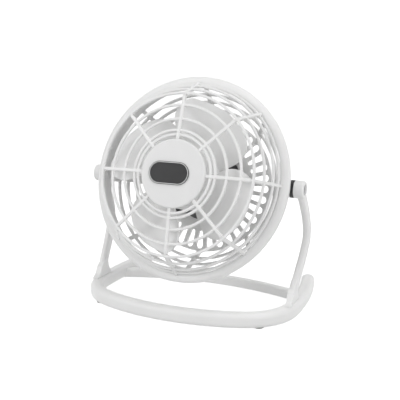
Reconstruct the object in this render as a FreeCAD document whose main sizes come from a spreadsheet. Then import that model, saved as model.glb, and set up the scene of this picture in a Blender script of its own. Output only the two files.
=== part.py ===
import FreeCAD, Part
import math
import os
import Sketcher
from FreeCAD import Placement, Rotation, Vector

# Small desk fan: a tilting guarded head between two bent arms on an open loop base.
# Row frame: +Z up, front of the fan towards -Y, origin on the table under the middle.
# Head frame: X to the row's +X, Y up across the guard, Z forward along the fan axis,
# with its origin on the fan axis just in front of the tilt axis. Lengths are millimetres.

doc = FreeCAD.newDocument("desk_fan")

SIZES = {
    # head
    "head_height": 85,
    "head_back": -7.6,
    "rest_tilt": 17.5,
    "pivot_behind": 2.7,
    "rim_radius": 68.5,
    "rim_width": 5.6,
    "rim_front": 9.4,
    "rim_back": 5.5,
    "shoulder_radius": 52.3,
    "shoulder_front": 31.2,
    "wire_width": 1.75,
    "wire_depth": 2,
    "spoke_width": 2.1,
    "cap_radius": 22,
    "cap_front": 34.8,
    "cap_thick": 1.6,
    "badge_long": 27.5,
    "badge_high": 14.5,
    "badge_thick": 0.6,
    "badge_aside": -2.5,
    # rear guard
    "collar_radius": 66,
    "collar_wall": 2.4,
    "collar_rear": -1.5,
    "plate_radius": 46.8,
    "plate_hole": 16,
    "plate_front": -23.6,
    "plate_thick": 2.4,
    "slot_inner": 34,
    "slot_outer": 42.6,
    "clip_wall": 2.2,
    # rotor
    "tip_radius": 50,
    "hub_radius": 21,
    "hub_rear": 6,
    "hub_front": 25.5,
    "blade_rear": 4.6,
    "blade_rise": 22.4,
    "blade_start": 15,
    "blade_sweep": 86,
    "blade_thick": 1.4,
    "shaft_radius": 1.15,
    # motor and its housing
    "housing_base": 25,
    "housing_nose": 19.5,
    "housing_front": -1.5,
    "housing_wall": 2,
    "can_radius": 12,
    "can_wall": 1,
    "can_front": -3.5,
    "can_length": 18,
    "core_radius": 8.4,
    "screw_circle": 26,
    # rear cover and switch
    "cover_radius": 28.6,
    "cover_dome": 23.2,
    "cover_depth": 14,
    "cover_wall": 2,
    "switch_up": 9,
    "cord_down": 13,
    # pivots
    "washer_inner": 66.9,
    "washer_thick": 2.6,
    "boss_radius": 5.8,
    "boss_outer": 76,
    "pin_radius": 2,
    # stand
    "base_height": 10,
    "base_half_width": 75.8,
    "base_half_length": 53.2,
    "bar_width": 9.2,
    "crossbar_height": 7.2,
    "crossbar_width": 6,
    "arm_thick": 4.4,
    "arm_width": 7.4,
    "pad_radius": 3.4,
    "pad_height": 1.2,
    "pad_show": 0.4,
}

dims = doc.addObject("Spreadsheet::Sheet", "Dims")
for row, (name, value) in enumerate(SIZES.items(), start=1):
    dims.set(f"A{row}", name)
    dims.set(f"B{row}", str(value))
    dims.setAlias(f"B{row}", name)
doc.recompute()

nodes = []


def size(name):
    """Value of a driving dimension, read back from the sheet."""
    return float(dims.get(name))


def bind(piece, **formulas):
    """Bind properties to sheet formulas; a double underscore stands for a dot."""
    for prop, formula in formulas.items():
        piece.setExpression(prop.replace("__", "."), formula)
    return piece


def on_head(piece):
    """Carry a piece built in the head frame to its place on the tilted head."""
    piece.Placement = Placement(Vector(0, 0, 0), Rotation(Vector(1, 0, 0), 45))
    bind(
        piece,
        Placement__Base__y="Dims.head_back",
        Placement__Base__z="Dims.head_height",
        Placement__Rotation__Angle="90 - Dims.rest_tilt",
    )
    return piece


def node(piece, label, head=True):
    """Register a finished sub-part under the name of its file."""
    piece.Label = label
    if head:
        on_head(piece)
    nodes.append(piece)
    return piece


def feature(label, shape, head=True):
    """A sub-part whose shape is made with Part's own functions."""
    piece = doc.addObject("Part::Feature", label)
    piece.Shape = shape
    return node(piece, label, head)


def cylinder(name, radius, height, z, x="0", y="0"):
    """Cylinder along Z with every size a sheet formula."""
    piece = doc.addObject("Part::Cylinder", name)
    return bind(
        piece,
        Radius=radius,
        Height=height,
        Placement__Base__x=x,
        Placement__Base__y=y,
        Placement__Base__z=z,
    )


def cross_cylinder(name, radius, length, x):
    """Cylinder along X that starts at x, for the pivot hardware."""
    piece = cylinder(name, radius, length, "-Dims.pivot_behind", x)
    piece.Placement.Rotation = Rotation(Vector(0, 1, 0), 90)
    return piece


def box(name, width, depth, height, x, y, z):
    """Box centred on x and y, standing on z."""
    piece = doc.addObject("Part::Box", name)
    return bind(
        piece,
        Length=width,
        Width=depth,
        Height=height,
        Placement__Base__x=f"{x} - ({width}) / 2",
        Placement__Base__y=f"{y} - ({depth}) / 2",
        Placement__Base__z=z,
    )


def fuse(name, pieces):
    """One fused piece, or a group where the pieces stay apart."""
    piece = doc.addObject("Part::MultiFuse", name)
    piece.Shapes = pieces
    return piece


def cut(name, base, tools):
    """Base piece less one or more tools."""
    piece = doc.addObject("Part::Cut", name)
    piece.Base = base
    piece.Tool = tools[0] if len(tools) == 1 else fuse(name + "_tools", tools)
    return piece


def group(name, pieces):
    """Separate identical solids kept in one sub-part."""
    piece = doc.addObject("Part::Compound", name)
    piece.Links = pieces
    return piece


def profile_face(points):
    """Face in the XZ plane from (radius, height) points."""
    corners = [Vector(r, 0, z) for r, z in points]
    return Part.Face(Part.makePolygon(corners + corners[:1]))


def turned(points):
    """Solid of revolution about Z from (radius, height) points."""
    return profile_face(points).revolve(Vector(0, 0, 0), Vector(0, 0, 1), 360)


def rounded_rectangle(width, height, radius):
    """Closed outline in the XY plane with quarter-round corners."""
    arcs = []
    for quarter, (right, up) in enumerate([(1, 1), (-1, 1), (-1, -1), (1, -1)]):
        centre = Vector(right * (width / 2 - radius), up * (height / 2 - radius), 0)
        arcs.append(Part.makeCircle(radius, centre, Vector(0, 0, 1), 90 * quarter, 90 * quarter + 90))
    edges = []
    for arc, following in zip(arcs, arcs[1:] + arcs[:1]):
        edges += [arc, Part.makeLine(arc.lastVertex().Point, following.firstVertex().Point)]
    return Part.Wire(edges)


def ring(radius, front, width, depth):
    """Moulded ring with a rounded section whose front is at the given height."""
    section = rounded_rectangle(width, depth, 0.36 * width)
    section.Placement = Placement(Vector(radius, 0, front - depth / 2), Rotation(Vector(1, 0, 0), 90))
    return Part.Face(section).revolve(Vector(0, 0, 0), Vector(0, 0, 1), 360)


def strip(points, width):
    """Flat rib cut to (radius, height) points, centred on the X axis."""
    rib = profile_face(points).extrude(Vector(0, width, 0))
    rib.translate(Vector(0, -width / 2, 0))
    return rib


def softened(rib, radius, low):
    """Rib with its long edges rounded where they lie above a height."""
    edges = [
        edge for edge in rib.Edges
        if abs(edge.tangentAt(edge.FirstParameter).y) < 0.1
        and min(vertex.Z for vertex in edge.Vertexes) > low
    ]
    return rib.makeFillet(radius, edges)


def spun(shape, angle):
    """Copy of a shape turned about the fan axis."""
    copy = shape.copy()
    copy.rotate(Vector(0, 0, 0), Vector(0, 0, 1), angle)
    return copy


def rounded_bar(points, width, height, radius, upright):
    """Bar swept along a smooth line, its height held square to one direction."""
    curve = Part.BSplineCurve()
    curve.interpolate([Vector(*point) for point in points])
    along = curve.tangent(curve.FirstParameter)[0]
    side = upright.cross(along).normalize()
    up = along.cross(side)
    start = curve.value(curve.FirstParameter)
    section = rounded_rectangle(width, height, radius)
    section.Placement = Placement(FreeCAD.Matrix(
        side.x, up.x, along.x, start.x,
        side.y, up.y, along.y, start.y,
        side.z, up.z, along.z, start.z,
        0, 0, 0, 1,
    ))
    sweep = Part.BRepOffsetAPI.MakePipeShell(Part.Wire(curve.toShape()))
    sweep.setBiNormalMode(upright)
    sweep.add(section)
    sweep.build()
    sweep.makeSolid()
    return sweep.shape()


# ---------------------------------------------------------------- front grille


def dome_height(radius):
    """Front surface of the cage between the cap and the shoulder."""
    inner = size("cap_radius")
    run = size("shoulder_radius") - inner
    start = size("cap_front") - 0.9
    return start - (start - size("shoulder_front")) * (radius - inner) / run


def flank_point(share):
    """Point on the cage side, 0 at the shoulder and 1 at the rim."""
    rim_inner = size("rim_radius") - size("rim_width")
    radius = size("shoulder_radius") + share * (rim_inner + 0.6 - size("shoulder_radius"))
    front = size("shoulder_front") + share * (size("rim_front") - 1 - size("shoulder_front"))
    return radius, front


def front_rim():
    """Rounded band round the mouth of the grille."""
    outer = size("rim_radius")
    inner = outer - size("rim_width")
    front = size("rim_front")
    back = size("rim_back")
    crown = Part.Arc(
        Vector(inner, 0, front),
        Vector(inner + 0.7 * size("rim_width"), 0, front - 0.4),
        Vector(outer, 0, front - 1.9),
    ).toShape()
    rest = Part.makePolygon([
        Vector(outer, 0, front - 1.9),
        Vector(outer, 0, back),
        Vector(inner, 0, back),
        Vector(inner, 0, front),
    ])
    face = Part.Face(Part.Wire([crown] + rest.Edges))
    return face.revolve(Vector(0, 0, 0), Vector(0, 0, 1), 360)


def grille_spokes():
    """Eight bent spokes from the cap, over the shoulder and down onto the rim."""
    hub, shoulder = size("cap_radius") - 1, size("shoulder_radius")
    foot_radius, foot_front = flank_point(1)
    spoke = strip([
        (hub, dome_height(hub) + 0.3),
        (shoulder - 1.2, dome_height(shoulder) + 0.3),
        (shoulder + 0.9, size("shoulder_front") - 0.9),
        (foot_radius + 0.6, foot_front + 1.9),
        (foot_radius + 0.6, size("rim_back") + 1),
        (foot_radius - 0.9, size("rim_back") + 1),
        (shoulder - 1.1, size("shoulder_front") - 2.2),
        (hub, dome_height(hub) - size("wire_depth")),
    ], size("spoke_width"))
    spoke = softened(spoke, 0.55, size("rim_front") + 0.5)
    return [spun(spoke, 45 * turn) for turn in range(8)]


def front_cage():
    """Face and side of the cage: concentric rings carried by the spokes."""
    wide, deep = size("wire_width"), size("wire_depth")
    split = Part.makeCylinder(size("shoulder_radius") - 1.4, 60)
    spokes = grille_spokes()
    rings = [ring(r, dome_height(r), wide, deep) for r in (25, 27.9, 35.3, 44.4)]
    base = size("cap_front") - size("cap_thick")
    seat = Part.makeCylinder(size("cap_radius") - 0.4, 2, Vector(0, 0, base - 2))
    face = seat.multiFuse(rings + [spoke.common(split) for spoke in spokes])
    face = face.cut(Part.makeCylinder(size("cap_radius"), 5, Vector(0, 0, base)))
    sides = [ring(size("shoulder_radius"), dome_height(size("shoulder_radius")), wide, deep)]
    for share in (0.37, 0.69, 0.87):
        radius, front = flank_point(share)
        sides.append(ring(radius, front + deep / 2, wide, deep))
    side = sides[0].multiFuse(sides[1:] + [spoke.cut(split) for spoke in spokes])
    return face.removeSplitter(), side.cut(front_rim()).removeSplitter()


def padded_body(label, draw, offset, length, round_edge=0):
    """Body padded from a sketch that lies across the fan axis at an offset."""
    body = doc.addObject("PartDesign::Body", label)
    sketch = body.newObject("Sketcher::SketchObject", label + "_sketch")
    planes = [part for part in body.Origin.OriginFeatures if part.Role == "XY_Plane"]
    sketch.AttachmentSupport = (planes[0], [""])
    sketch.MapMode = "FlatFace"
    bind(sketch, AttachmentOffset__Base__z=offset)
    draw(sketch)
    doc.recompute()
    pad = body.newObject("PartDesign::Pad", label + "_pad")
    pad.Profile = sketch
    bind(pad, Length=length)
    doc.recompute()
    if round_edge:
        top = pad.Shape.BoundBox.ZMax
        edges = [
            f"Edge{index}" for index, edge in enumerate(pad.Shape.Edges, start=1)
            if abs(edge.BoundBox.ZMin - top) < 1e-4 and abs(edge.BoundBox.ZMax - top) < 1e-4
        ]
        fillet = body.newObject("PartDesign::Fillet", label + "_edge")
        fillet.Base = (pad, edges)
        fillet.Radius = round_edge
        doc.recompute()
    return body


def draw_circle(alias):
    """Sketching function for a centred circle whose radius is a driving dimension."""
    def draw(sketch):
        sketch.addGeometry(Part.Circle(Vector(0, 0, 0), Vector(0, 0, 1), size(alias)), False)
        sketch.addConstraint(Sketcher.Constraint("Coincident", 0, 3, -1, 1))
        radius = sketch.addConstraint(Sketcher.Constraint("Radius", 0, size(alias)))
        sketch.setExpression(f"Constraints[{radius}]", "Dims." + alias)
    return draw


def draw_badge(sketch):
    """Plain capsule of the emblem plate."""
    end = size("badge_high") / 2
    reach = size("badge_long") / 2 - end
    right, left = Vector(reach, 0, 0), Vector(-reach, 0, 0)
    up = Vector(0, end, 0)
    axis = Vector(0, 0, 1)
    half = math.pi / 2
    sketch.addGeometry(Part.ArcOfCircle(Part.Circle(right, axis, end), -half, half), False)
    sketch.addGeometry(Part.LineSegment(right + up, left + up), False)
    sketch.addGeometry(Part.ArcOfCircle(Part.Circle(left, axis, end), half, 3 * half), False)
    sketch.addGeometry(Part.LineSegment(left - up, right - up), False)
    for line, arc, line_end, arc_end in ((1, 0, 1, 2), (1, 2, 2, 1), (3, 2, 1, 2), (3, 0, 2, 1)):
        sketch.addConstraint(Sketcher.Constraint("Tangent", arc, arc_end, line, line_end))
    sketch.addConstraint(Sketcher.Constraint("Horizontal", 1))
    sketch.addConstraint(Sketcher.Constraint("Symmetric", 0, 3, 2, 3, -1, 1))
    radius = sketch.addConstraint(Sketcher.Constraint("Radius", 0, end))
    sketch.setExpression(f"Constraints[{radius}]", "Dims.badge_high / 2")
    spread = sketch.addConstraint(Sketcher.Constraint("DistanceX", 2, 3, 0, 3, 2 * reach))
    sketch.setExpression(f"Constraints[{spread}]", "Dims.badge_long - Dims.badge_high")


def make_front():
    """Front guard in three rigid parts, its centre cap and the plain emblem."""
    face, side = front_cage()
    feature("front_rim", front_rim())
    feature("front_side", side)
    feature("front_face", face)
    cap_rear = "Dims.cap_front - Dims.cap_thick"
    cap = padded_body("grille_cap", draw_circle("cap_radius"), cap_rear, "Dims.cap_thick", 1)
    node(cap, "grille_cap")
    badge = padded_body("badge_plate", draw_badge, "Dims.cap_front", "Dims.badge_thick")
    bind(node(badge, "badge_plate"), Placement__Base__x="Dims.badge_aside")


# ------------------------------------------------------------------ rear guard


def radial_slot():
    """Tapered slot with round ends for the back plate."""
    inner, outer = size("slot_inner"), size("slot_outer")
    depth = 3 * size("plate_thick")
    low = size("plate_front") - 2 * size("plate_thick")
    narrow, broad = 1.6, 2.5
    ends = [
        Part.makeCylinder(narrow, depth, Vector(inner, 0, low)),
        Part.makeCylinder(broad, depth, Vector(outer, 0, low)),
    ]
    lean = math.asin((broad - narrow) / (outer - inner))
    touch = [
        (inner - narrow * math.sin(lean), narrow * math.cos(lean)),
        (outer - broad * math.sin(lean), broad * math.cos(lean)),
    ]
    corners = [Vector(x, y, low) for x, y in touch]
    corners += [Vector(x, -y, low) for x, y in reversed(touch)]
    middle = Part.Face(Part.makePolygon(corners + corners[:1])).extrude(Vector(0, 0, depth))
    return middle.multiFuse(ends).removeSplitter()


def rear_plate():
    """Flat back of the guard with its slots and the holes of the cover screws."""
    outer, face = size("plate_radius"), size("plate_front")
    rear = face - size("plate_thick")
    disc = turned([(size("plate_hole"), rear), (outer, rear), (outer, face), (size("plate_hole"), face)])
    slots = [spun(radial_slot(), 10 * turn) for turn in range(36)]
    bores = [
        Part.makeCylinder(1.6, size("plate_thick") + 2, Vector(x, y, rear - 1)) for x, y in screw_spots()
    ]
    return disc.cut(slots + bores)


def screw_spots():
    """Centres of the four screws that hold the motor housing and the cover."""
    reach = size("screw_circle") * math.sqrt(0.5)
    return [(x * reach, y * reach) for x in (1, -1) for y in (1, -1)]


def rear_side():
    """Open conical side of the guard: rings carried by eight ribs."""
    outer = size("collar_radius")
    inner = outer - size("collar_wall")
    back = size("collar_rear")
    plate = size("plate_radius")
    face = size("plate_front")
    rear = face - size("plate_thick")
    rings = []
    for share in (0.26, 0.5, 0.75):
        radius = inner + 0.6 + share * (plate - inner)
        rings.append(ring(radius, back + share * (face - back) + 0.5, 1.9, 2.4))
    outline = [
        (outer - 1.2, back),
        (plate + 1.4, rear),
        (plate, rear),
        (plate, face + 0.6),
        (inner - 0.6, back),
    ]
    ribs = [spun(strip(outline, 8 if turn % 4 == 0 else 2.6), 45 * turn) for turn in range(8)]
    boss_start = Vector(-outer, 0, -size("pivot_behind"))
    rooms = [
        Part.makeCylinder(plate, 5, Vector(0, 0, rear - 1)),
        Part.makeCylinder(size("boss_radius") - 0.2, 2 * outer, boss_start, Vector(1, 0, 0)),
    ]
    return rings[0].multiFuse(rings[1:] + ribs).cut(rooms).removeSplitter()


def rear_collar():
    """Solid collar behind the rim, with a blind boss for each pivot screw."""
    outer = size("collar_radius")
    inner = outer - size("collar_wall")
    back, top = size("collar_rear"), size("rim_back")
    collar = turned([
        (inner - 0.6, back),
        (outer - 1.2, back),
        (outer, back + 2.5),
        (outer, top),
        (inner, top),
    ])
    behind = -size("pivot_behind")
    bosses = []
    bores = []
    for way in (1, -1):
        side = Vector(way, 0, 0)
        start = Vector(way * (inner - 6), 0, behind)
        span = size("washer_inner") - inner + 6
        bosses.append(Part.makeCylinder(size("boss_radius") - 0.2, span, start, side))
        bores.append(Part.makeCylinder(3.2, span, start + 2.1 * side, side))
    return collar.multiFuse(bosses).cut(bores).removeSplitter()


def rim_clips():
    """Four hooked clips that hold the grille to the collar."""
    outer = size("collar_radius")
    wall = size("clip_wall")
    top = size("rim_back")
    bar = profile_face([
        (outer, size("collar_rear") + 2.5),
        (outer + wall - 0.8, size("collar_rear") + 2.5),
        (outer + wall, size("collar_rear") + 3.5),
        (outer + wall, top - 0.1),
        (outer, top - 0.1),
    ])
    clip = bar.revolve(Vector(0, 0, 0), Vector(0, 0, 1), 16)
    clips = [spun(clip, middle - 8) for middle in (67.5, 112.5, 247.5, 292.5)]
    return Part.makeCompound(clips)


def make_rear():
    """Rear guard in three rigid parts, with its clips."""
    feature("rear_collar", rear_collar())
    feature("rear_side", rear_side())
    feature("rear_plate", rear_plate())
    feature("rim_clips", rim_clips())


# ----------------------------------------------------------------------- rotor


def polar(radius, angle):
    """Point in the XY plane at a radius and an angle in degrees."""
    turn = math.radians(angle)
    return Vector(radius * math.cos(turn), radius * math.sin(turn), 0)


def spline(points):
    """Smooth edge through points."""
    curve = Part.BSplineCurve()
    curve.interpolate(points)
    return curve.toShape()


def blade_outline():
    """Petal seen along the axis: trailing edge, round tip and bulging leading edge."""
    tip, root = size("tip_radius"), size("hub_radius") - 1
    start = size("blade_start")
    end = start + size("blade_sweep") - 1
    trailing = [
        polar(root, start + 1),
        polar(0.53 * tip, start + 4),
        polar(0.76 * tip, start + 8.5),
        polar(0.88 * tip, start + 15),
        polar(0.96 * tip, start + 29),
        polar(tip, start + 46),
    ]
    leading = [
        polar(tip, end - 19),
        polar(0.965 * tip, end - 8),
        polar(0.86 * tip, end - 2.5),
        polar(0.7 * tip, end),
        polar(0.54 * tip, end - 4),
        polar(root, end - 9),
    ]
    edges = [
        spline(trailing),
        Part.Arc(trailing[-1], polar(tip, start + 56), leading[0]).toShape(),
        spline(leading),
        Part.Arc(leading[-1], polar(root, start + 40), trailing[0]).toShape(),
    ]
    return Part.Face(Part.Wire(edges))


def blade():
    """Helical blade cut to the petal outline."""
    sweep = size("blade_sweep")
    rise = size("blade_rise")
    pitch = rise * 360 / sweep
    root = Part.makeHelix(pitch, rise, size("hub_radius") - 3)
    tip = Part.makeHelix(pitch, rise, size("tip_radius") + 2)
    skin = Part.makeRuledSurface(root.Edges[0], tip.Edges[0])
    slab = spun(skin.extrude(Vector(0, 0, size("blade_thick"))), size("blade_start"))
    piece = slab.common(blade_outline().extrude(Vector(0, 0, rise + 4)))
    piece.translate(Vector(0, 0, size("blade_rear")))
    return piece


def fan_rotor():
    """Four blades on a cup-shaped hub with a socket for the shaft."""
    rear, front = size("hub_rear"), size("hub_front")
    outer = size("hub_radius")
    cup = turned([
        (outer, rear),
        (outer, front - 1.5),
        (outer - 1.5, front),
        (0, front),
        (0, front - 1.8),
        (outer - 1.8, front - 1.8),
        (outer - 1.8, rear),
    ])
    socket = Part.makeCylinder(3.6, front - rear - 2, Vector(0, 0, rear + 1))
    petal = blade()
    blades = [spun(petal, 90 * turn) for turn in range(4)]
    bore = Part.makeCylinder(size("shaft_radius"), front - rear - 4, Vector(0, 0, rear))
    return cup.multiFuse([socket] + blades).cut(bore).removeSplitter()


def make_rotor():
    """Everything that spins: rotor, shaft, armature and commutator."""
    feature("fan_rotor", fan_rotor())
    shaft_length = "Dims.hub_front - 4 + 26"
    node(padded_body("motor_shaft", draw_circle("shaft_radius"), "-26", shaft_length, 0.3), "motor_shaft")
    feature("armature_core", armature_core())
    feature("armature_windings", armature_windings())
    ring_outer = cylinder("commutator_outer", "3.1", "3.8", "-19.2")
    ring_bore = cylinder("commutator_bore", "Dims.shaft_radius", "6", "-20.4")
    node(cut("commutator_body", ring_outer, [ring_bore]), "commutator")


def armature_core():
    """Three-pole laminated core."""
    radius = size("core_radius")
    low, height = -14.6, 8
    hub = Part.makeCylinder(2.6, height, Vector(0, 0, low))
    rim = Part.makeCylinder(radius, height, Vector(0, 0, low))
    rim = rim.cut(Part.makeCylinder(radius - 1.3, height, Vector(0, 0, low)))
    gaps = [
        spun(Part.makeBox(radius + 1, 3.4, height, Vector(0, -1.7, low)), 60 + 120 * turn)
        for turn in range(3)
    ]
    poles = [
        spun(Part.makeBox(radius - 0.6, 2.6, height, Vector(0, -1.3, low)), 120 * turn)
        for turn in range(3)
    ]
    core = rim.cut(gaps).multiFuse([hub] + poles)
    return core.cut(Part.makeCylinder(size("shaft_radius"), height, Vector(0, 0, low))).removeSplitter()


def armature_windings():
    """Three coils round the poles, clear of the core."""
    coils = []
    for turn in range(3):
        coil = Part.makeBox(3.4, 4.8, 10.4, Vector(3.3, -2.4, -15.8))
        slot = Part.makeBox(4.4, 2.64, 8.04, Vector(2.5, -1.32, -14.62))
        coils.append(spun(coil.cut(slot), 120 * turn))
    return Part.makeCompound(coils)


# --------------------------------------------------------------- motor housing


def motor_housing():
    """Bell that covers the motor and carries it at the nose."""
    base, nose = size("housing_base"), size("housing_nose")
    low, high, wall = size("plate_front"), size("housing_front"), size("housing_wall")
    bell = turned([
        (base, low),
        (nose + 1.5, high - 1),
        (nose, high),
        (4.2, high),
        (4.2, high - wall),
        (nose - 1.4, high - wall),
        (base - wall - 0.8, low),
    ])
    ears = []
    holes = []
    for x, y in screw_spots():
        ears.append(Part.makeCylinder(2.9, 4, Vector(x, y, low)))
        holes.append(Part.makeCylinder(1.4, 3.2, Vector(x, y, low)))
    for way in (1, -1):
        holes.append(Part.makeCylinder(1.05, 6, Vector(8 * way, 0, high - 4)))
    return bell.multiFuse(ears).cut(holes).removeSplitter()


def make_motor():
    """Motor can, magnets, end cap, bushes, brushes, terminals and its screws."""
    feature("motor_housing", motor_housing())
    rear = "Dims.can_front - Dims.can_length"
    shell = cylinder("can_shell", "Dims.can_radius", "Dims.can_length", rear)
    nose = cylinder("can_nose", "4", "2.2", "Dims.can_front")
    inside = cylinder(
        "can_inside", "Dims.can_radius - Dims.can_wall", "Dims.can_length - Dims.can_wall", rear
    )
    seat = cylinder("can_seat", "2.6", "8", "Dims.can_front - 4")
    threads = [
        cylinder(f"can_thread_{way}", "1", "4", "Dims.can_front - 2", f"{8 * way}") for way in (1, -1)
    ]
    node(cut("can_body", fuse("can_blank", [shell, nose]), [inside, seat] + threads), "motor_can")
    feature("motor_magnets", motor_magnets())
    plug = cylinder("end_plug", "Dims.can_radius - Dims.can_wall", "2", rear)
    lid = cylinder("end_lid", "Dims.can_radius", "1.6", rear + " - 1.6")
    hole = cylinder("end_hole", "2.6", "6", rear + " - 2.6")
    ways = [
        box(f"end_way_{way}", "0.9", "3.1", "8", f"{7 * way}", "0", rear + " - 3") for way in (1, -1)
    ]
    node(cut("end_body", fuse("end_blank", [plug, lid]), [hole] + ways), "motor_end_cap")
    bushes = []
    for name, low, high in (("front", "Dims.can_front - 1", "3.2"), ("rear", rear + " - 1.6", "3.4")):
        outer = cylinder(f"bush_{name}_outer", "2.6", high, low)
        bore = cylinder(f"bush_{name}_bore", "Dims.shaft_radius + 0.04", high, low)
        bushes.append(cut(f"bush_{name}", outer, [bore]))
    node(group("bush_pair", bushes), "motor_bushes")
    brushes = [
        box(f"brush_{way}", "3.35", "1.6", "2.4", f"{5.075 * way}", "0", "-18.6") for way in (1, -1)
    ]
    node(group("brush_pair", brushes), "motor_brushes")
    tabs = [
        box(f"tab_{way}", "0.5", "2.7", "9", f"{7 * way}", "0", "-26.6") for way in (1, -1)
    ]
    node(group("tab_pair", tabs), "motor_terminals")
    screws = []
    for way in (1, -1):
        head = cylinder(f"motor_screw_head_{way}", "1.9", "1.3", "Dims.housing_front", f"{8 * way}")
        shank = cylinder(f"motor_screw_shank_{way}", "1", "4", "Dims.housing_front - 4", f"{8 * way}")
        slot = box(f"motor_screw_slot_{way}", "2.6", "0.5", "1", f"{8 * way}", "0", "Dims.housing_front + 0.7")
        screws.append(cut(f"motor_screw_{way}", fuse(f"motor_screw_blank_{way}", [head, shank]), [slot]))
    node(group("motor_screw_pair", screws), "motor_screws")


def motor_magnets():
    """Two curved magnets against the inside of the can."""
    outer = size("can_radius") - size("can_wall")
    sector = profile_face([(outer - 2, -16), (outer, -16), (outer, -6), (outer - 2, -6)])
    magnet = sector.revolve(Vector(0, 0, 0), Vector(0, 0, 1), 130)
    return Part.makeCompound([spun(magnet, 25), spun(magnet, 205)])


# ------------------------------------------------------------ rear cover parts


def make_cover():
    """Domed cover over the back of the motor, its screws, switch and cord inlet."""
    seat = "(Dims.plate_front - Dims.plate_thick)"
    back = seat + " - Dims.cover_depth"
    flange = cylinder("cover_flange", "Dims.cover_radius", "Dims.cover_wall", seat + " - Dims.cover_wall")
    dome = doc.addObject("Part::Cone", "cover_dome_outer")
    bind(
        dome,
        Radius1="Dims.cover_dome - 2.4",
        Radius2="Dims.cover_dome",
        Height="Dims.cover_depth",
        Placement__Base__z=back,
    )
    hollow = doc.addObject("Part::Cone", "cover_dome_inner")
    bind(
        hollow,
        Radius1="Dims.cover_dome - 2.4 - Dims.cover_wall",
        Radius2="Dims.cover_dome - Dims.cover_wall",
        Height="Dims.cover_depth",
        Placement__Base__z=back + " + Dims.cover_wall",
    )
    window = box("cover_window", "19.2", "12.8", "6", "0", "Dims.switch_up", back + " - 1")
    inlet = cylinder("cover_inlet", "3.1", "6", back + " - 1", "0", "-Dims.cord_down")
    holes = []
    screws = []
    for turn in range(4):
        angle = 45 + 90 * turn
        x = f"Dims.screw_circle * cos({angle} deg)"
        y = f"Dims.screw_circle * sin({angle} deg)"
        holes.append(cylinder(f"cover_hole_{turn}", "1.5", "6", seat + " - 4", x, y))
        head = cylinder(f"cover_screw_head_{turn}", "2.4", "1.6", seat + " - Dims.cover_wall - 1.6", x, y)
        shank = cylinder(f"cover_screw_shank_{turn}", "1.4", "7.2", seat + " - Dims.cover_wall", x, y)
        across = box(f"cover_screw_slot_{turn}", "3.2", "0.6", "0.8", x, y, seat + " - Dims.cover_wall - 1.6")
        screws.append(cut(f"cover_screw_{turn}", fuse(f"cover_screw_blank_{turn}", [head, shank]), [across]))
    cover = cut("cover_body", fuse("cover_blank", [flange, dome]), [hollow, window, inlet] + holes)
    node(cover, "rear_cover")
    node(group("cover_screw_set", screws), "cover_screws")
    make_switch(back)
    make_cord_inlet(back)


def make_switch(back):
    """Rocker switch in the cover window: housing, rocker and solder tabs."""
    up = "Dims.switch_up"
    bezel = box("switch_bezel", "21", "14.6", "1.6", "0", up, back + " - 1.6")
    body = box("switch_body", "19", "12.6", "8.4", "0", up, back)
    well = box("switch_well", "15.6", "9.4", "7.6", "0", up, back + " - 2")
    bearing = cylinder("switch_bearing", "0.95", "12", back + " + 1", "0", up + " + 6")
    bearing.Placement.Rotation = Rotation(Vector(1, 0, 0), 90)
    node(cut("switch_shell", fuse("switch_blank", [bezel, body]), [well, bearing]), "switch_housing")
    feature("switch_rocker", switch_rocker())
    tabs = [
        box(f"switch_tab_{spot}", "0.8", "4.2", "5", f"{6 * spot}", up, back + " + 8.4")
        for spot in (-1, 0, 1)
    ]
    node(group("switch_tab_set", tabs), "switch_terminals")


def switch_axis():
    """Height of the rocker's tilting axis behind the head's origin."""
    return size("plate_front") - size("plate_thick") - size("cover_depth") + 1


def switch_rocker():
    """Shallow V-shaped key that rocks left and right, resting on its off side."""
    long, high = 7.1, 4.4
    key = Part.Face(Part.makePolygon([
        Vector(-long, 0, -2.9),
        Vector(0, 0, -1.9),
        Vector(long, 0, -2.9),
        Vector(long - 0.8, 0, 0.6),
        Vector(0, 0, 3.2),
        Vector(-long + 0.8, 0, 0.6),
        Vector(-long, 0, -2.9),
    ])).extrude(Vector(0, 2 * high, 0))
    key.translate(Vector(0, -high, 0))
    trunnion = Part.makeCylinder(0.9, 11.6, Vector(0, -5.8, 0), Vector(0, 1, 0))
    key = key.fuse(trunnion).removeSplitter()
    seat = Placement(Vector(0, size("switch_up"), switch_axis()), Rotation(Vector(0, 1, 0), 8))
    return key.transformed(seat.toMatrix(), True)


def make_cord_inlet(back):
    """Rubber gland where the supply cord would enter, left empty."""
    down = "-Dims.cord_down"
    flange = cylinder("gland_flange", "4.6", "1.4", back + " - 1.4", "0", down)
    neck = cylinder("gland_neck", "3.1", "Dims.cover_wall", back, "0", down)
    keeper = cylinder("gland_keeper", "4", "1.2", back + " + Dims.cover_wall", "0", down)
    bore = cylinder("gland_bore", "1.6", "10", back + " - 3", "0", down)
    node(cut("gland_body", fuse("gland_blank", [flange, neck, keeper]), [bore]), "cord_gland")


# ---------------------------------------------------------------------- pivots


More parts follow.
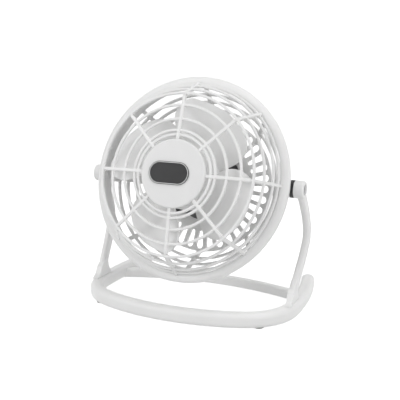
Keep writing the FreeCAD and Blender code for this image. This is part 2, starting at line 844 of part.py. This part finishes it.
def make_pivots():
    """Brass inserts and shoulder screws on the head, friction washers on the stand."""
    inserts = []
    screws = []
    washers = []
    for way, side in ((1, "right"), (-1, "left")):
        insert = cross_cylinder(f"insert_{side}", "3.2", "6.9", "Dims.washer_inner - 7")
        thread = cross_cylinder(f"insert_bore_{side}", "Dims.pin_radius", "9", "Dims.washer_inner - 8")
        inserts.append(cut(f"insert_body_{side}", insert, [thread]))
        head = cross_cylinder(f"pin_head_{side}", "3.3", "2", "Dims.boss_outer - 3.1")
        shank = cross_cylinder(
            f"pin_shank_{side}",
            "Dims.pin_radius",
            "Dims.boss_outer - Dims.washer_inner + 3",
            "Dims.washer_inner - 6",
        )
        slot = box(f"pin_slot_{side}", "1", "4.6", "0.9", "Dims.boss_outer - 1.5", "0", "-0.45")
        screws.append(cut(f"pin_body_{side}", fuse(f"pin_blank_{side}", [head, shank]), [slot]))
        disc = cross_cylinder(
            f"washer_{side}", "Dims.boss_radius - 0.05", "Dims.washer_thick", "Dims.washer_inner + 0.1"
        )
        hole = cross_cylinder(f"washer_hole_{side}", "Dims.pin_radius + 0.06", "6", "Dims.washer_inner - 2")
        washers.append(cut(f"washer_body_{side}", disc, [hole]))
        if way < 0:
            for piece in (inserts[-1], screws[-1], washers[-1]):
                piece.Placement = Placement(Vector(0, 0, 0), Rotation(Vector(0, 0, 1), 180))
    node(group("insert_pair", inserts), "pivot_inserts")
    node(group("pin_pair", screws), "pivot_screws")
    node(group("washer_pair", washers), "pivot_washers")


# ----------------------------------------------------------------------- stand


def mirrored(points):
    """Half an outline given from the right rear end to the front, completed on the left."""
    return points + [(-x, y, z) for x, y, z in reversed(points[:-1])]


def pad_spots():
    """Centres of the four rubber pads."""
    wide, long = size("base_half_width") - size("bar_width") / 2, size("base_half_length")
    front, rear = (0.8 * wide, -0.665 * long), (0.965 * wide, 0.66 * long)
    return [(way * x, y) for x, y in (front, rear) for way in (1, -1)]


def base_frame():
    """Loop of the base, open at the rear, with a curved crossbar between its sides."""
    wide, low, high = size("bar_width"), size("pad_show"), size("base_height")
    side = size("base_half_width") - wide / 2
    end = size("base_half_length") - wide / 2
    middle = (low + high) / 2
    outline = [(0.92, 1), (0.984, 0.47), (1, 0.05), (0.966, -0.42), (0.84, -0.685), (0.57, -0.88), (0, -1)]
    loop = mirrored([(x * side, y * end, middle) for x, y in outline])
    pieces = [rounded_bar(loop, wide, high - low, 3, Vector(0, 0, 1))]
    for way in (1, -1):
        tip = Part.makeCylinder(wide / 2, high - low, Vector(way * loop[0][0], loop[0][1], low))
        rims = [edge for edge in tip.Edges if edge.isClosed()]
        pieces.append(tip.makeFillet(2.9, rims))
    tall = size("crossbar_height") - low
    level = low + tall / 2
    bow = [(0.985, 0.36), (0.51, 0.575), (0, 0.652)]
    cross = mirrored([(x * side, y * end, level) for x, y in bow])
    pieces.append(rounded_bar(cross, size("crossbar_width"), tall, 1.6, Vector(0, 0, 1)))
    pockets = [
        Part.makeCylinder(size("pad_radius"), size("pad_height"), Vector(x, y, 0)) for x, y in pad_spots()
    ]
    return pieces[0].multiFuse(pieces[1:]).cut(pockets)


def pivot_point():
    """Back and height of the tilt axis."""
    tilt = math.radians(size("rest_tilt"))
    behind = size("pivot_behind")
    return size("head_back") + behind * math.cos(tilt), size("head_height") - behind * math.sin(tilt)


def arm_line(way):
    """Points down the middle of the bent strap, from the base to the pivot."""
    back, top = pivot_point()
    edge = size("boss_outer")
    return [
        (way * (edge - 5), back - 6.4, size("base_height") - 0.5),
        (way * (edge - 3.8), back + 4.6, 0.34 * top),
        (way * (edge - 2.6), back + 12.6, 0.495 * top),
        (way * (edge - 2), back + 15.2, 0.605 * top),
        (way * (edge - 2), back + 13.4, 0.715 * top),
        (way * (edge - 2.4), back + 6, 0.88 * top),
        (way * (edge - 2.9), back, top),
    ]


def bent_arm(way):
    """Bent strap from the base rail up to the pivot boss on one side."""
    strap = rounded_bar(arm_line(way), size("arm_width"), size("arm_thick"), 1.7, Vector(way, 0, 0))
    inner = size("washer_inner") + size("washer_thick") + 0.1
    back, top = pivot_point()
    centre = Vector(way * inner, back, top)
    outward = Vector(way, 0, 0)
    boss = Part.makeCylinder(size("boss_radius"), size("boss_outer") - inner, centre, outward)
    rims = [
        edge for edge in boss.Edges
        if edge.isClosed() and abs(edge.CenterOfMass.x) > size("boss_outer") - 0.1
    ]
    boss = boss.makeFillet(1.2, rims)
    bore = Part.makeCylinder(size("pin_radius") + 0.06, 12, centre - outward, outward)
    recess_start = centre + outward * (size("boss_outer") - inner - 3.3)
    recess = Part.makeCylinder(3.6, 5, recess_start, outward)
    floor = Part.makeBox(40, 60, 20, Vector(way * 70 - 20, -40, size("base_height") - 20))
    return strap.multiFuse([boss, arm_root(way)]).cut([bore, recess, floor])


def arm_root(way):
    """Gusset that spreads the foot of the arm along the rail."""
    x, y, z = arm_line(way)[0]
    half = size("arm_thick") / 2 - 0.1
    face = Part.Face(Part.makePolygon([
        Vector(x - half, y - 10, z),
        Vector(x - half, y + 11, z),
        Vector(x - half, y + 7.5, z + 6),
        Vector(x - half, y + 6, z + 14),
        Vector(x - half, y - 2, z + 8),
        Vector(x - half, y - 5, z + 3),
        Vector(x - half, y - 10, z),
    ]))
    return face.extrude(Vector(2 * half, 0, 0))


def foot_pads():
    """Four rubber pads let into the underside of the base."""
    pads = [Part.makeCylinder(size("pad_radius"), size("pad_height"), Vector(x, y, 0)) for x, y in pad_spots()]
    return Part.makeCompound(pads)


def make_stand():
    """Base loop, its pads and the two arms."""
    feature("base_frame", base_frame(), head=False)
    feature("right_arm", bent_arm(1), head=False)
    feature("left_arm", bent_arm(-1), head=False)
    feature("foot_pads", foot_pads(), head=False)


def check_and_export():
    """Stop on any broken piece, then write one file per node."""
    doc.recompute()
    for piece in doc.Objects:
        if {"Invalid", "Error"} & set(piece.State):
            raise RuntimeError(f"{piece.Label} is {piece.State}")
    for piece in nodes:
        if piece.Shape.isNull() or not piece.Shape.isValid():
            raise RuntimeError(f"{piece.Label} has no valid shape")
    os.makedirs("parts", exist_ok=True)
    for piece in nodes:
        piece.Shape.exportStep(f"parts/{piece.Label}.step")


make_front()
make_rear()
make_rotor()
make_motor()
make_cover()
make_pivots()
make_stand()
check_and_export()
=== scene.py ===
import math
import bpy
from mathutils import Matrix, Vector


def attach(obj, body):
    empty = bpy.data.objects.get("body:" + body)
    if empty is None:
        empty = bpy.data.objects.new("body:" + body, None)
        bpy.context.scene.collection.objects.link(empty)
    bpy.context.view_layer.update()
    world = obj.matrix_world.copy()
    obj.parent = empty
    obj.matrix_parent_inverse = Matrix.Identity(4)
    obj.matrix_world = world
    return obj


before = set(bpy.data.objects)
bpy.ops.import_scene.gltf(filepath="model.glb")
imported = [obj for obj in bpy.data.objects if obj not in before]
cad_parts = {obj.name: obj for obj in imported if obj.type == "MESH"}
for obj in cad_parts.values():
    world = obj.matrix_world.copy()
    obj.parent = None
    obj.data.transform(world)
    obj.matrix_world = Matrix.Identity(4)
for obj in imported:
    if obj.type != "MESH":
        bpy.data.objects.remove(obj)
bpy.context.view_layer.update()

# Place of the head: its X runs right, its Y up across the guard and its Z forward along the fan axis.
TILT = math.radians(17.5)
HEAD_BACK = -0.0076
HEAD_HEIGHT = 0.085
HEAD = Matrix.Translation((0, HEAD_BACK, HEAD_HEIGHT)) @ Matrix.Rotation(math.pi / 2 - TILT, 4, "X")

# The plain emblem on the cap and the pale line round it, in metres along the head's own axes.
BADGE_LONG = 0.0275
BADGE_HIGH = 0.0145
BADGE_ASIDE = -0.0025
BADGE_FRONT = 0.0354
BORDER_INSET = 0.0003
BORDER_WIDTH = 0.00048
BORDER_RISE = 0.00015
BORDER_SINK = 0.0001


# ------------------------------------------------------------------ materials

# Colour sockets of the Mix node, whose socket names are the same for every kind of data.
MIX_FIRST = 6
MIX_SECOND = 7
MIX_RESULT = 2


class Shader:
    """A node material built round one Principled shader."""

    def __init__(self, name):
        self.material = bpy.data.materials.new(name)
        self.material.use_nodes = True
        self.tree = self.material.node_tree
        self.main = self.tree.nodes["Principled BSDF"]
        self.place = self.add("ShaderNodeTexCoord").outputs["Object"]

    def add(self, kind, **values):
        """New node with its plain properties set."""
        node = self.tree.nodes.new(kind)
        for name, value in values.items():
            setattr(node, name, value)
        return node

    def link(self, out, socket):
        self.tree.links.new(out, socket)

    def noise(self, scale, detail=4, rough=0.5):
        """Seedless noise over the object's own coordinates, in cycles per metre."""
        node = self.add("ShaderNodeTexNoise")
        node.inputs["Scale"].default_value = scale
        node.inputs["Detail"].default_value = detail
        node.inputs["Roughness"].default_value = rough
        self.link(self.place, node.inputs["Vector"])
        return node.outputs["Fac"]

    def remap(self, value, low, high, start=0.3, end=0.7):
        """Value between start and end spread to low..high."""
        node = self.add("ShaderNodeMapRange")
        for socket, number in (("From Min", start), ("From Max", end), ("To Min", low), ("To Max", high)):
            node.inputs[socket].default_value = number
        self.link(value, node.inputs["Value"])
        return node.outputs["Result"]

    def mix(self, factor, first, second):
        """Colour between two colours or outputs."""
        node = self.add("ShaderNodeMix", data_type="RGBA")
        self.link(factor, node.inputs["Factor"])
        for socket, colour in ((node.inputs[MIX_FIRST], first), (node.inputs[MIX_SECOND], second)):
            if isinstance(colour, tuple):
                socket.default_value = (*colour, 1)
            else:
                self.link(colour, socket)
        return node.outputs[MIX_RESULT]

    def bump(self, height, distance, strength=1.0, base=None):
        """Bump of the given depth in metres, on top of another bump."""
        node = self.add("ShaderNodeBump")
        node.inputs["Strength"].default_value = strength
        node.inputs["Distance"].default_value = distance
        self.link(height, node.inputs["Height"])
        if base is not None:
            self.link(base, node.inputs["Normal"])
        return node.outputs["Normal"]

    def finish(self, colour, roughness, normal=None, **plain):
        """Connect the result; plain values go straight on the shader's sockets."""
        self.link(colour, self.main.inputs["Base Color"])
        self.link(roughness, self.main.inputs["Roughness"])
        if normal is not None:
            self.link(normal, self.main.inputs["Normal"])
        for name, value in plain.items():
            self.main.inputs[name.replace("_", " ")].default_value = value
        return self.material


def moulded_plastic(name, pale, deep, rough, grain=0.000012, glow=0.0):
    """Moulded plastic: faint flow marks, fine grain, paler edges and some light let through."""
    s = Shader(name)
    cloud = s.noise(35, detail=3)
    fine = s.noise(2600, detail=2)
    flow = s.noise(300, detail=5, rough=0.6)
    tone = s.mix(s.remap(cloud, 0, 1), deep, pale)
    pointy = s.add("ShaderNodeNewGeometry").outputs["Pointiness"]
    worn = s.remap(pointy, 0, 0.35, start=0.52, end=0.6)
    brighter = tuple(min(1.0, channel * 1.04 + 0.01) for channel in pale)
    colour = s.mix(worn, tone, brighter)
    roughness = s.remap(flow, rough - 0.05, rough + 0.07)
    normal = s.bump(fine, grain)
    normal = s.bump(cloud, 0.00012, strength=0.5, base=normal)
    if glow:
        s.main.inputs["Subsurface Radius"].default_value = (0.004, 0.004, 0.0038)
        s.main.inputs["Subsurface Scale"].default_value = 1.0
    return s.finish(colour, roughness, normal, Specular_IOR_Level=0.5, IOR=1.49, Subsurface_Weight=glow)


def rubber(name, tone):
    """Matt rubber with a fine skin and a dusty bloom."""
    s = Shader(name)
    dust = s.noise(180, detail=6, rough=0.65)
    lighter = tuple(channel * 1.9 + 0.01 for channel in tone)
    colour = s.mix(s.remap(dust, 0, 0.7, start=0.45, end=0.75), tone, lighter)
    return s.finish(colour, s.remap(dust, 0.72, 0.9), s.bump(s.noise(3200, detail=3), 0.00003))


def turned_metal(name, tone, rough, across=False):
    """Metal with fine machining lines."""
    s = Shader(name)
    stretch = s.add("ShaderNodeMapping")
    stretch.inputs["Scale"].default_value = (1, 14, 14) if across else (14, 14, 1)
    s.link(s.place, stretch.inputs["Vector"])
    lines = s.add("ShaderNodeTexNoise")
    lines.inputs["Scale"].default_value = 420
    lines.inputs["Detail"].default_value = 4
    s.link(stretch.outputs["Vector"], lines.inputs["Vector"])
    stain = s.noise(240, detail=5, rough=0.6)
    darker = tuple(channel * 0.72 for channel in tone)
    colour = s.mix(s.remap(stain, 0, 1, start=0.35, end=0.7), tone, darker)
    roughness = s.remap(lines.outputs["Fac"], rough - 0.08, rough + 0.12)
    return s.finish(colour, roughness, s.bump(lines.outputs["Fac"], 0.000008), Metallic=1.0)


def sintered(name, tone):
    """Dark pressed powder: ferrite magnets and carbon brushes."""
    s = Shader(name)
    speck = s.noise(1500, detail=8, rough=0.75)
    lighter = tuple(channel * 2.2 for channel in tone)
    colour = s.mix(s.remap(speck, 0, 1, start=0.4, end=0.7), tone, lighter)
    return s.finish(colour, s.remap(speck, 0.55, 0.75), s.bump(speck, 0.00004))


WHITE = moulded_plastic("white_abs", (0.90, 0.90, 0.896), (0.88, 0.88, 0.876), 0.42, glow=0.3)
BLADE = moulded_plastic(
    "blade_abs", (0.90, 0.90, 0.895), (0.88, 0.88, 0.875), 0.34, grain=0.000006, glow=0.35
)
BLACK = moulded_plastic("black_abs", (0.012, 0.012, 0.013), (0.008, 0.008, 0.009), 0.48)
EMBLEM = moulded_plastic(
    "emblem_film", (0.017, 0.017, 0.018), (0.013, 0.013, 0.014), 0.45, grain=0.000004
)
RUBBER = rubber("soft_rubber", (0.018, 0.018, 0.018))
PALE_RUBBER = rubber("pale_rubber", (0.32, 0.32, 0.315))
STEEL = turned_metal("zinc_steel", (0.60, 0.60, 0.61), 0.30, across=True)
SHEET_STEEL = turned_metal("sheet_steel", (0.55, 0.55, 0.56), 0.36)
BRASS = turned_metal("tinned_brass", (0.74, 0.60, 0.33), 0.30)
COPPER = turned_metal("enamelled_copper", (0.72, 0.36, 0.20), 0.34)
BRONZE = turned_metal("oiled_bronze", (0.46, 0.32, 0.19), 0.45)
FERRITE = sintered("ferrite", (0.045, 0.045, 0.048))

FINISHES = {
    "front_rim": WHITE,
    "front_side": WHITE,
    "front_face": WHITE,
    "grille_cap": WHITE,
    "rear_collar": WHITE,
    "rear_side": WHITE,
    "rear_plate": WHITE,
    "rim_clips": WHITE,
    "base_frame": WHITE,
    "right_arm": WHITE,
    "left_arm": WHITE,
    "rear_cover": WHITE,
    "fan_rotor": BLADE,
    "badge_plate": EMBLEM,
    "motor_housing": BLACK,
    "pivot_washers": BLACK,
    "switch_housing": BLACK,
    "switch_rocker": BLACK,
    "motor_end_cap": BLACK,
    "foot_pads": PALE_RUBBER,
    "cord_gland": RUBBER,
    "pivot_screws": STEEL,
    "cover_screws": STEEL,
    "motor_screws": STEEL,
    "motor_shaft": STEEL,
    "motor_can": SHEET_STEEL,
    "armature_core": SHEET_STEEL,
    "pivot_inserts": BRASS,
    "switch_terminals": BRASS,
    "motor_terminals": BRASS,
    "commutator": COPPER,
    "armature_windings": COPPER,
    "motor_bushes": BRONZE,
    "motor_magnets": FERRITE,
    "motor_brushes": FERRITE,
}


def paint_nodes():
    """Give each CAD node its finish and smooth, crisp-edged shading."""
    crisp_from = math.radians(32)
    for name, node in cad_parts.items():
        node.data.materials.clear()
        node.data.materials.append(FINISHES[name])
        node.data.shade_smooth()
        node.data.set_sharp_from_angle(angle=crisp_from)


# ----------------------------------------------------------------- small parts


def add_mesh(name, points, faces, material):
    """New mesh object of one material, put in the scene."""
    mesh = bpy.data.meshes.new(name)
    mesh.from_pydata(points, [], faces)
    mesh.materials.append(material)
    piece = bpy.data.objects.new(name, mesh)
    bpy.context.scene.collection.objects.link(piece)
    return piece


def capsule(length, height, steps=24):
    """Outline of a capsule centred on the origin, as points in a plane."""
    end = height / 2
    reach = length / 2 - end
    points = []
    for way, start in ((1, -90), (-1, 90)):
        for step in range(steps + 1):
            turn = math.radians(start + 180 * step / steps)
            points.append((way * reach + end * math.cos(turn), end * math.sin(turn)))
    return points


def make_badge_border():
    """Raised pale line round the plain emblem, a little inside its edge."""
    low, high = BADGE_FRONT - BORDER_SINK, BADGE_FRONT + BORDER_RISE
    slope = BORDER_WIDTH / 8
    section = (
        (0, low),
        (slope, high),
        (BORDER_WIDTH - slope, high),
        (BORDER_WIDTH, low),
    )
    points = []
    for across, level in section:
        inset = 2 * (BORDER_INSET + across)
        outline = capsule(BADGE_LONG - inset, BADGE_HIGH - inset)
        points += [(x + BADGE_ASIDE, y, level) for x, y in outline]
    count = len(outline)
    faces = []
    for row in range(len(section) - 1):
        first, second = row * count, (row + 1) * count
        for step in range(count):
            after = (step + 1) % count
            faces.append((first + step, first + after, second + after, second + step))
    border = add_mesh("badge_border", points, faces, WHITE)
    border.matrix_world = HEAD
    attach(border, "head")


# ---------------------------------------------------------------------- stage


def sweep_material():
    """Pale paper with a faint tooth and a weak light of its own."""
    s = Shader("pale_sweep")
    tooth = s.noise(900)
    colour = s.mix(s.remap(tooth, 0, 1), (0.93, 0.93, 0.93), (0.95, 0.95, 0.95))
    s.main.inputs["Emission Color"].default_value = (1, 1, 1, 1)
    return s.finish(colour, s.remap(tooth, 0.85, 0.95), s.bump(tooth, 0.00003), Emission_Strength=0.55)


def sweep_profile():
    """Back and height of the sweep: flat floor, quarter-round cove, upright wall."""
    floor_front, floor_back, bend, top, steps = -8.0, 1.3, 0.6, 2.6, 15
    turns = [math.radians(90 * step / steps) for step in range(steps + 1)]
    cove = [(floor_back + bend * math.sin(turn), bend * (1 - math.cos(turn))) for turn in turns]
    return [(floor_front, 0.0)] + cove + [(floor_back + bend, top)]


def make_sweep(material):
    """Pale seamless sweep under and behind the fan; it throws no diffuse light back on it."""
    half = 4.0
    profile = sweep_profile()
    corners = [(side * half, back, height) for back, height in profile for side in (-1, 1)]
    faces = [(2 * row, 2 * row + 1, 2 * row + 3, 2 * row + 2) for row in range(len(profile) - 1)]
    sweep = add_mesh("sweep", corners, faces, material)
    sweep.data.shade_smooth()
    sweep.visible_diffuse = False


def make_surround(material):
    """Far round wall, so that the fan stands before the same pale paper from every side."""
    reach, top, steps = 3.8, 6.0, 96
    turns = [2 * math.pi * step / steps for step in range(steps)]
    corners = [(reach * math.cos(turn), reach * math.sin(turn), z) for z in (0, top) for turn in turns]
    faces = [(step, (step + 1) % steps, steps + (step + 1) % steps, steps + step) for step in range(steps)]
    wall = add_mesh("surround", corners, faces, material)
    wall.visible_diffuse = False
    wall.visible_glossy = False
    wall.visible_shadow = False


def area_light(name, position, target, width, power):
    """Square soft box aimed at a point."""
    data = bpy.data.lights.new(name, "AREA")
    data.size = width
    data.energy = power
    lamp = bpy.data.objects.new(name, data)
    lamp.location = position
    lamp.rotation_euler = (Vector(target) - Vector(position)).to_track_quat("-Z", "Y").to_euler()
    bpy.context.scene.collection.objects.link(lamp)


def make_light():
    """Even pale world, a soft key from the left, a fill from the right and a soft box above."""
    world = bpy.data.worlds.new("surround")
    world.use_nodes = True
    background = world.node_tree.nodes["Background"]
    background.inputs["Color"].default_value = (1, 1, 1, 1)
    background.inputs["Strength"].default_value = 0.52
    bpy.context.scene.world = world
    area_light("key", position=(-0.75, -0.75, 0.55), target=(0, 0, 0.08), width=0.45, power=3.4)
    area_light("fill", position=(0.85, -0.5, 0.35), target=(0, 0, 0.08), width=0.6, power=2.3)
    area_light("top", position=(0.3, 0, 1.1), target=(0, 0, 0.07), width=0.8, power=2.6)


def make_camera():
    """Camera a little above the fan and to its right."""
    azimuth, elevation = math.radians(23.57), math.radians(12.96)
    distance = 0.5234
    target = Vector((0, -0.0046, 0.070))
    away = Vector((
        math.sin(azimuth) * math.cos(elevation),
        -math.cos(azimuth) * math.cos(elevation),
        math.sin(elevation),
    ))
    data = bpy.data.cameras.new("camera")
    data.sensor_width = 36
    data.lens = 69.66
    data.shift_x = 0.0113
    data.shift_y = 0.0024
    camera = bpy.data.objects.new("camera", data)
    camera.location = target + distance * away
    camera.rotation_euler = (-away).to_track_quat("-Z", "Y").to_euler()
    bpy.context.scene.collection.objects.link(camera)
    bpy.context.scene.camera = camera


bpy.context.scene.view_settings.view_transform = "Standard"
paint_nodes()
make_badge_border()
paper = sweep_material()
make_sweep(paper)
make_surround(paper)
make_light()
make_camera()
